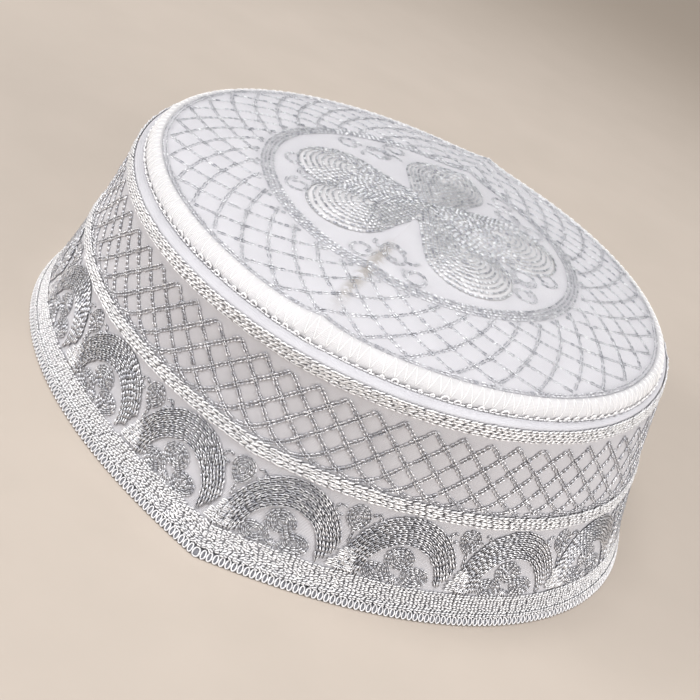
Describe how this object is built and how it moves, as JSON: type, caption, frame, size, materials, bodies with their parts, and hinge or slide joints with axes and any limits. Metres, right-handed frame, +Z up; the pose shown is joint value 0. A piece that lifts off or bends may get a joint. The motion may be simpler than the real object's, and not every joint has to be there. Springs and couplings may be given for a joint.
{
  "type": "kufi cap",
  "caption": "Stiff embroidered kufi cap with a domed crown, a flaring side creased at front and back, a raised flower on top and raised scroll bands, open underneath.",
  "frame": {"origin": "on the floor in the middle of the rim that the cap rests on", "axes": "+Z up; the front crease points to -Y and the back crease to +Y; X runs from side to side"},
  "size_m": [0.1934, 0.1912, 0.0743],
  "materials": {
    "white_cloth": "matt white twill",
    "silver_thread": "silver-grey satin thread, chain stitched"
  },
  "bodies": {
    "root": {"crown_panel": "white_cloth", "crown_welt": "white_cloth", "side_wall": "white_cloth", "upper_braid": "silver_thread", "lower_braid": "silver_thread", "hem_braid": "silver_thread", "rim_edging": "silver_thread", "medallion_ring": "silver_thread", "rosette": "silver_thread", "scroll_fan_01": "silver_thread", "scroll_fan_02": "silver_thread", "scroll_fan_03": "silver_thread", "scroll_fan_04": "silver_thread", "scroll_fan_05": "silver_thread", "scroll_fan_06": "silver_thread", "scroll_fan_07": "silver_thread", "scroll_fan_08": "silver_thread", "scroll_fan_09": "silver_thread", "scroll_fan_10": "silver_thread", "scroll_fan_11": "silver_thread", "scroll_fan_12": "silver_thread", "scroll_fan_13": "silver_thread", "scroll_fan_14": "silver_thread", "scroll_fan_15": "silver_thread", "scroll_fan_16": "silver_thread", "scroll_fan_17": "silver_thread", "trefoil_01": "silver_thread", "trefoil_02": "silver_thread", "trefoil_03": "silver_thread", "trefoil_04": "silver_thread", "trefoil_05": "silver_thread", "trefoil_06": "silver_thread", "trefoil_07": "silver_thread", "trefoil_08": "silver_thread", "trefoil_09": "silver_thread", "trefoil_10": "silver_thread", "trefoil_11": "silver_thread", "trefoil_12": "silver_thread", "trefoil_13": "silver_thread", "trefoil_14": "silver_thread", "trefoil_15": "silver_thread", "trefoil_16": "silver_thread", "trefoil_17": "silver_thread"}
  },
  "joints": []
}
